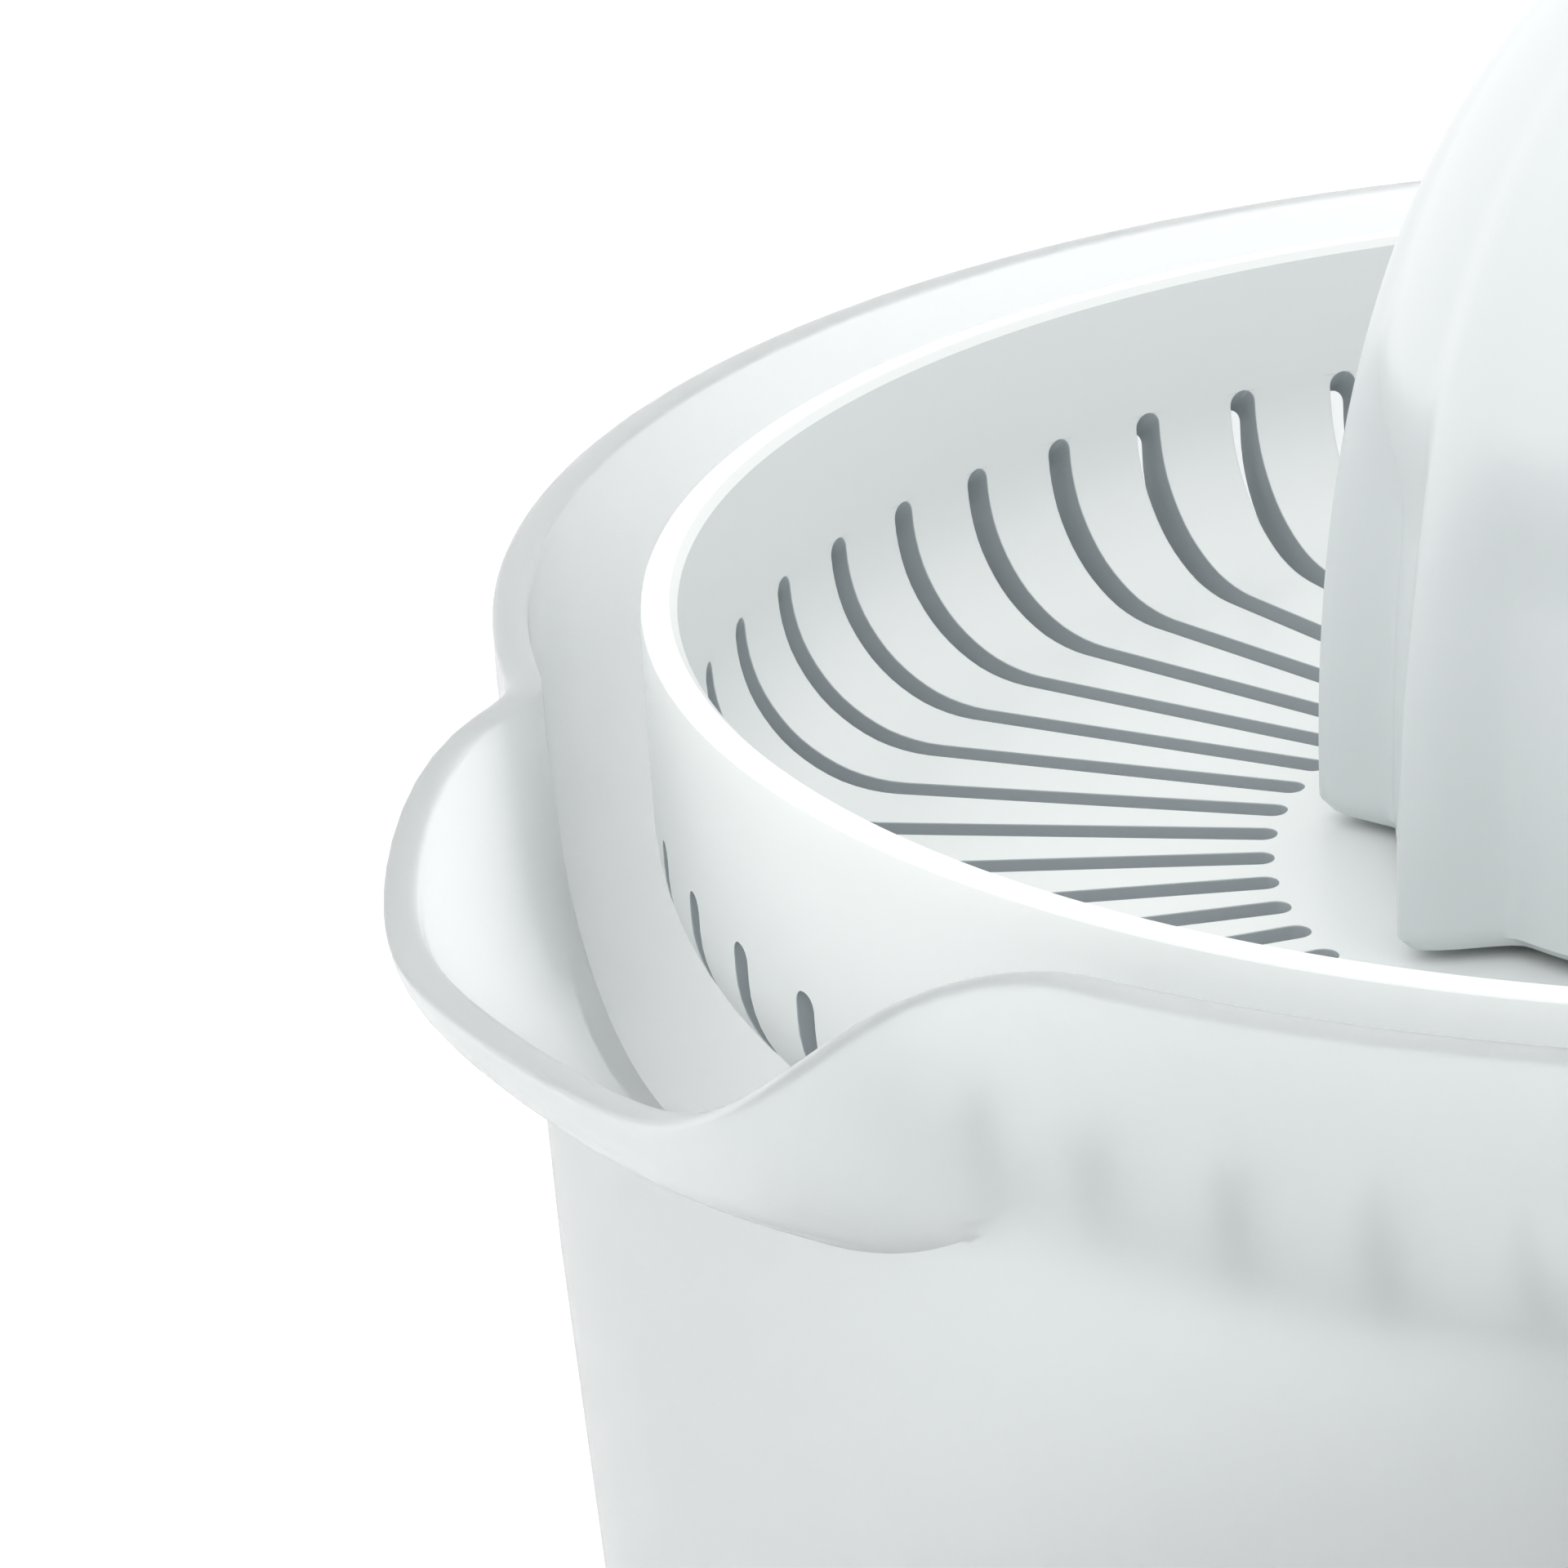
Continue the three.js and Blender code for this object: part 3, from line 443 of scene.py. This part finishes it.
def large_reamer():
    """Cap reamer: its round hollow is the small reamer's crest line, moved out by 0.6 (1 - t^8) mm.

    It is also raised by 0.9 s(1.6 t) mm, s being the smooth step.
    """
    beside, above, small_height = 0.6, 0.9, 44
    t = np.sin(np.linspace(0, np.pi / 2, 40))
    hollow_r = crest(SMALL_R, t) + beside * (1 - t ** 8)
    hollow_z = SMALL_BOTTOM + t * small_height + above * smooth(t * 1.6)
    hollow_r[-1] = 0
    hollow = np.column_stack((hollow_r, hollow_z))
    hollow[0, 1] = CAP_LOW[2]
    outside = dome(LARGE_R, CAP_LOW[2], CAP_HIGH[2] - CAP_LOW[2], 0.17)
    return reamer("ribbed_cap_reamer", outside, hollow, "outer_reamer", "large_reamer")


def small_reamer():
    """Small reamer with the stem that drops over the spindle.

    Its socket is a plain round one here, where the model's has six sides.
    """
    bottom, stem_end = SMALL_BOTTOM, CONE_LOW[2]
    outside = dome(SMALL_R, bottom, CONE_HIGH[2] - bottom, 0.14)
    stem, socket, ceiling = 8.0, 4.2, RIM_Z - 2.5
    hollow = rounded([
        (19, bottom, 0), (18.4, bottom + 13, 6), (14.3, bottom + 27, 6), (9.6, bottom + 32, 2.5),
        (stem, bottom + 29, 1), (stem, stem_end, 0.8), (socket, stem_end, 0.6), (socket, ceiling, 0),
        (0, ceiling, 0)])
    return reamer("ribbed_small_reamer", outside, hollow, "inner_reamer", "small_reamer")


# ---- Base ------------------------------------------------------------------------------------
def motor_housing():
    """Round housing shell, deck and spindle tower in one moulding."""
    outer, top = HOUSING_HIGH[0], JUG_LOW[2] - 0.3
    tower_top, wall = HOUSING_HIGH[2], 2.4
    bottom, skirt, waist = HOUSING_LOW[2], 5, 45
    tower_root, tower_foot, tower, tower_bore = 13.4, 11.9, 11.4, 9
    outline = rounded([
        (outer - wall, bottom, 0), (outer, bottom, 0.8), (outer, skirt, 30), (outer - 1, waist, 200),
        (outer - 2.6, top, 5.5), (tower_root, top, 0.9), (tower_foot, top + 3, 3), (tower, tower_top, 0.9),
        (tower_bore, tower_top, 0.3), (tower_bore, top - wall, 0.4), (outer - wall - 2.8, top - wall, 4),
        (outer - wall - 1, waist, 200), (outer - wall, skirt, 30), (outer - wall, bottom, 0)])
    return mesh("housing_shell", *turned(dense(outline, 6), 192), "base", ["motor_housing"])


def rubber_feet():
    """Four feet: a disc with a soft edge and a shallow moulded dish in the sole."""
    low, high = FOOT_LOW[2], FOOT_HIGH[2]
    radius = (FOOT_HIGH[0] - FOOT_LOW[0]) / 2
    dish = low + 0.5
    outline = rounded([(0, dish, 0), (4.2, dish, 0.8), (4.9, low, 0.4), (radius, low, 1.3),
                       (radius, high, 0.2), (0, high, 0)])
    points, faces = turned(outline, 64)
    feet = []
    for number in range(1, 5):
        low_corner, high_corner = span(f"foot_{number}")
        centre = (low_corner + high_corner) / 2 * (1, 1, 0)
        feet.append(mesh(f"rubber_foot_{number}", points + centre, faces, "base", [f"foot_{number}"]))
    return feet


def cord_gland():
    """Strain relief: flange, then a taper with five moulded grooves, along +Y."""
    low, high = span("cord_gland")
    height = (low[2] + high[2]) / 2
    wall_out = high[1] - 16
    bore, neck, flange = 3.2, 5, 7
    flange_low, flange_high = wall_out + 0.3, wall_out + 2.6
    pitch, taper, groove = 1.15, 0.16, 0.7
    grooves = [(5.4 - taper * i - (groove if i % 2 else 0), wall_out + 4 + i * pitch, 0.25)
               for i in range(10)]
    outline = rounded([
        (bore, low[1], 0), (neck, low[1], 0.4), (neck, flange_low, 0.2), (flange, flange_low, 0.3),
        (flange, flange_high, 0.8), (5.6, wall_out + 3.2, 0.4), *grooves, (3.9, high[1], 0.5),
        (bore, high[1], 0.2), (bore, low[1], 0)], steps=4)
    points, faces = turned(outline, 64)
    turned_points = np.column_stack((points[:, 0], points[:, 2], height - points[:, 1]))
    return mesh("strain_relief", turned_points, faces, "base", ["cord_gland"])


def return_spring():
    """Compression spring: a round wire carried along a helix whose end turns lie flat.

    Between the end turns the height rises by 0.65 u + 0.35 s(u), u running 0 to 1 and s being the
    smooth step.
    """
    low, high = span("return_spring")
    wire = 0.65
    turns, flat, easing, columns = 6, 0.8, 0.35, 14
    turn = np.linspace(0, turns, 240)
    u = np.clip((turn - flat) / (turns - 2 * flat), 0, 1)
    rise = smooth(u) * easing + u * (1 - easing)
    height = low[2] + wire + rise * (high[2] - low[2] - 2 * wire)
    angle, around = turn * TURN, np.arange(columns)[None] * TURN / columns
    r = high[0] - wire + wire * np.cos(around)
    loops = np.stack((r * np.cos(angle)[:, None], r * np.sin(angle)[:, None],
                      height[:, None] + wire * np.sin(around)), -1)
    piece = mesh("coil_spring", *closed_loops(loops), "base", ["return_spring"])
    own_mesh(piece)
    return piece


# ---- Finishes --------------------------------------------------------------------------------
def colour(code):
    """An sRGB hex value as linear red, green, blue and full alpha."""
    values = np.array([int(code[i:i + 2], 16) for i in (0, 2, 4)]) / 255
    linear = np.where(values <= 0.04045, values / 12.92, ((values + 0.055) / 1.055) ** 2.4)
    return (*linear.tolist(), 1.0)


def add(tree, kind, settings=(), links=()):
    """Adds a node, sets its named properties and sockets, and links other sockets into its own."""
    made = tree.nodes.new(kind)
    for name, value in dict(settings).items():
        if name in made.inputs:
            made.inputs[name].default_value = value
        else:
            setattr(made, name, value)
    for name, source in dict(links).items():
        tree.links.new(source, made.inputs[name])
    return made


def finish(name, shader, pattern=None):
    """A material whose Principled shader holds the given values; pattern(tree, shader) adds detail."""
    material = bpy.data.materials.new(name)
    material.use_nodes = True
    tree = material.node_tree
    tree.nodes.clear()
    surface = add(tree, "ShaderNodeBsdfPrincipled", shader)
    add(tree, "ShaderNodeOutputMaterial", links={"Surface": surface.outputs["BSDF"]})
    if pattern:
        pattern(tree, surface)
    return material


def drift(tree, surface, noise, tones, gloss_range):
    """Lets a noise's factor carry the surface's colour between two tones and its roughness over a range.

    Of the mix node's sockets, inputs 6 and 7 and output 2 are the ones that hold colours.
    """
    gloss = add(tree, "ShaderNodeMapRange", {"To Min": gloss_range[0], "To Max": gloss_range[1]},
                {"Value": noise.outputs["Fac"]})
    tone = add(tree, "ShaderNodeMix", {"data_type": "RGBA"}, {"Factor": noise.outputs["Fac"]})
    tone.inputs[6].default_value = colour(tones[0])
    tone.inputs[7].default_value = colour(tones[1])
    tree.links.new(tone.outputs[2], surface.inputs["Base Color"])
    tree.links.new(gloss.outputs["Result"], surface.inputs["Roughness"])


def moulded(grain_mm, depth_mm, roughness, spread, low, high):
    """Pattern of a moulded plastic: fine tool texture, a slow drift of gloss and of tone."""
    def pattern(tree, surface):
        place = add(tree, "ShaderNodeTexCoord").outputs["Object"]
        grain = add(tree, "ShaderNodeTexNoise", {"Scale": 1 / (grain_mm * MM), "Detail": 2.0},
                    {"Vector": place})
        bump = add(tree, "ShaderNodeBump", {"Strength": 0.35, "Distance": depth_mm * MM},
                   {"Height": grain.outputs["Fac"]})
        tree.links.new(bump.outputs["Normal"], surface.inputs["Normal"])
        slow = add(tree, "ShaderNodeTexNoise", {"Scale": 28.0, "Detail": 3.0}, {"Vector": place})
        drift(tree, surface, slow, (low, high), (roughness - spread, roughness + spread))
    return pattern


def white_abs():
    """Moulded ABS, opaque white with a faintly cool satin gloss from a polished tool."""
    return finish("abs_moulded_satin_white", {"IOR": 1.53, "Specular IOR Level": 0.45},
                  moulded(0.5, 0.01, 0.32, 0.03, "e0e4e3", "e5e9e8"))


def housing_abs():
    """ABS of the housing, a slightly greyer white with a slightly coarser tool texture."""
    return finish("abs_moulded_housing", {"IOR": 1.53, "Specular IOR Level": 0.5},
                  moulded(0.7, 0.015, 0.34, 0.03, "ccd1d1", "d4d8d8"))


def reamer_painted_shade_abs():
    """ABS of the reamers, a shade greyer than the strainer all over: painted shade for the dimness among the
    ribs and flutes, so that they read by shade.
    """
    return finish("abs_moulded_reamer_painted_shade", {"IOR": 1.53, "Specular IOR Level": 0.45},
                  moulded(0.5, 0.01, 0.3, 0.04, "cdd2d3", "d6dadb"))


def slot_flank_painted_shade():
    """ABS on the slots' flanks, greyer and matt on purpose: painted shade, so that the slots read as dark
    lines.
    """
    return finish("abs_slot_flanks_painted_shade", {"IOR": 1.53, "Specular IOR Level": 0.2},
                  moulded(0.5, 0.02, 0.6, 0.04, "a7aeb2", "b0b7ba"))


def milky_polypropylene():
    """Moulded polypropylene, milky: light enters the wall and dark things behind it show softly."""
    return finish("polypropylene_moulded_milky",
                  {"IOR": 1.49, "Transmission Weight": 0.82, "Specular IOR Level": 0.5},
                  moulded(0.6, 0.01, 0.36, 0.03, "f8fcfc", "fcfefe"))


def natural_nylon():
    """Moulded nylon, warm off-white and matt, with a fine grain."""
    return finish("nylon_moulded_natural", {"IOR": 1.53}, moulded(0.4, 0.02, 0.5, 0.05, "dcdfd6", "e6e8e0"))


def black_abs():
    """Black ABS with a spark-eroded tool texture that breaks up the gloss."""
    return finish("abs_textured_black", {"IOR": 1.53}, moulded(0.8, 0.06, 0.5, 0.06, "161617", "202022"))


def grey_tpe():
    """Grey thermoplastic rubber, dull, with a grainy skin."""
    return finish("tpe_moulded_grey", {"IOR": 1.5}, moulded(0.6, 0.05, 0.8, 0.06, "666a6c", "787c7e"))


def dark_ferrite():
    """Pressed ferrite magnet: dark grey, matt and slightly pitted."""
    return finish("ferrite_pressed_dark", {"IOR": 1.6}, moulded(0.7, 0.05, 0.6, 0.08, "2c2e33", "3a3c42"))


def drawn_metal(name, low, high, roughness, lines_mm):
    """A metal with fine lines of tone and gloss across the spindle axis: noise squeezed along +Z."""
    def pattern(tree, surface):
        place = add(tree, "ShaderNodeTexCoord").outputs["Object"]
        squeezed = add(tree, "ShaderNodeMapping", {"Scale": (20, 20, 1 / (lines_mm * MM))},
                       {"Vector": place})
        lines = add(tree, "ShaderNodeTexNoise", {"Scale": 1.0, "Detail": 3.0},
                    {"Vector": squeezed.outputs["Vector"]})
        drift(tree, surface, lines, (low, high), (roughness - 0.08, roughness + 0.12))
    return finish(name, {"Metallic": 1.0}, pattern)


def stainless_steel():
    """Turned stainless steel, with fine lines of tone and gloss round the shaft."""
    return drawn_metal("stainless_turned", "a9acb1", "c4c7ca", 0.3, 0.35)


def zinc_plate():
    """Zinc-plated sheet steel, cool grey with a slightly cloudy shine."""
    return drawn_metal("steel_zinc_plated", "989ca2", "b4b8bc", 0.42, 1.5)


def sintered_bronze():
    """Sintered bronze bush, brown-gold and dull with oil."""
    return drawn_metal("bronze_sintered", "93713f", "b3915a", 0.45, 0.8)


def varnished_copper():
    """Copper winding under clear varnish: close lines of tone stand for the turns of wire."""
    return drawn_metal("copper_wound_varnished", "8f4f26", "bd7540", 0.36, 0.5)


def dress(material, *pieces):
    """Puts a material in each piece's first slot, which a new piece doesn't have yet."""
    for piece in pieces:
        if piece.material_slots:
            piece.material_slots[0].material = material
        else:
            piece.data.materials.append(material)


# ---- The press -------------------------------------------------------------------------------
def build_press():
    """Makes the visible pieces and gives every piece and kept node its finish."""
    white = white_abs()
    milky = milky_polypropylene()
    strainer = strainer_basket()
    reamers = [large_reamer(), small_reamer()]
    base_pieces = [motor_housing(), cord_gland()]
    dress(white, strainer)
    dress(housing_abs(), *base_pieces)
    # The reamers' greyer tone is painted shade.
    dress(reamer_painted_shade_abs(), *reamers)
    # The slots' flanks get a second material whose grey is painted shade.
    strainer.data.materials.append(slot_flank_painted_shade())
    jug = juice_jug()
    dress(milky, jug)
    feet = rubber_feet()
    rubber = grey_tpe()
    for foot in feet:
        dress(rubber, foot)
    steel = stainless_steel()
    spring = return_spring()
    dress(steel, spring)
    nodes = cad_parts
    kept = {
        black_abs(): ["base_plate", "switch_body"],
        rubber: ["spindle_seal"],
        natural_nylon(): ["idler_gear", "output_gear", "thrust_collar", "switch_plunger"],
        dark_ferrite(): ["motor_rotor"],
        steel: ["drive_spindle", "idler_pin"],
        zinc_plate(): ["motor_can", "motor_endplate", "bearing_bridge", "standoff_1", "standoff_2",
                       "standoff_3", "plate_screw_1", "plate_screw_2", "plate_screw_3", "plate_screw_4"],
        sintered_bronze(): ["lower_bush", "upper_bush"],
        varnished_copper(): ["motor_coil"],
    }
    for material, names in kept.items():
        dress(material, *(nodes[name] for name in names))


# ---- Studio ----------------------------------------------------------------------------------
def pale_floor():
    """Pale, matt studio floor just under the feet."""
    half = 4000.0
    corners = np.array([(-half, -half), (half, -half), (half, half), (-half, half)])
    data = bpy.data.meshes.new("studio_floor")
    level = np.full((4, 1), FOOT_LOW[2] - 0.05)
    data.from_pydata((np.hstack((corners, level)) * MM).tolist(), [], [(0, 1, 2, 3)])
    floor = bpy.data.objects.new("studio_floor", data)
    bpy.context.scene.collection.objects.link(floor)
    dress(finish("painted_studio_floor", {"Base Color": colour("fbfbfb"), "Roughness": 0.9,
                                          "Specular IOR Level": 0.1}), floor)


def lamp(name, azimuth, elevation, distance, size, power):
    """A square soft light at a bearing and elevation, aimed at a point on the spindle's axis."""
    light = bpy.data.lights.new(name, "AREA")
    light.size, light.energy = size, power
    holder = bpy.data.objects.new(name, light)
    bpy.context.scene.collection.objects.link(holder)
    a, e = np.radians(azimuth), np.radians(elevation)
    back = Vector((np.sin(a) * np.cos(e), -np.cos(a) * np.cos(e), np.sin(e)))
    aim = Vector((0, 0, LAMP_AIM))
    holder.location = aim + back * distance
    holder.rotation_euler = (-back).to_track_quat("-Z", "Y").to_euler()


def studio():
    """Bright even room light, a soft lamp from the left and above, and a weaker one overhead."""
    pale_floor()
    world = bpy.data.worlds.new("bright_room")
    world.use_nodes = True
    background = world.node_tree.nodes["Background"]
    background.inputs["Color"].default_value = (1, 1, 1, 1)
    background.inputs["Strength"].default_value = 1.3
    bpy.context.scene.world = world
    lamp("key_left", azimuth=-100, elevation=40, distance=1.2, size=0.8, power=0.8)
    lamp("top_soft", azimuth=20, elevation=80, distance=1.3, size=1.0, power=0.2)
    bpy.context.scene.view_settings.view_transform = "Standard"


def camera():
    """Close view from the spout's side: the camera stands a little above the rim and is turned left.

    It is placed 344 mm from the middle of the rim at 19.4 degrees above it, looks at it, and then
    turns left and down and rolls by the named angles, so the press runs off the frame at the right.
    """
    bearing, height, distance = np.radians(-41.5), np.radians(19.43), 344.0
    left, down, roll = np.radians(10.25), np.radians(2.55), np.radians(0.05)
    back = np.array((np.sin(bearing) * np.cos(height), -np.cos(bearing) * np.cos(height), np.sin(height)))
    right = np.array((np.cos(bearing), np.sin(bearing), 0))
    ahead = -back
    up = np.cross(right, ahead)
    right, ahead = np.cos(left) * right + np.sin(left) * ahead, -np.sin(left) * right + np.cos(left) * ahead
    ahead, up = np.cos(down) * ahead - np.sin(down) * up, np.sin(down) * ahead + np.cos(down) * up
    right, up = np.cos(roll) * right - np.sin(roll) * up, np.sin(roll) * right + np.cos(roll) * up
    data = bpy.data.cameras.new("view_from_spout")
    data.sensor_width = 36.0
    data.lens = 131.1
    data.clip_start, data.clip_end = 0.01, 50.0
    holder = bpy.data.objects.new("view_from_spout", data)
    turn = Matrix((right, up, -ahead)).transposed().to_4x4()
    turn.translation = (back * distance + (0, 0, RIM_Z)) * MM
    holder.matrix_world = turn
    bpy.context.scene.collection.objects.link(holder)
    bpy.context.scene.camera = holder


camera()
build_press()
studio()
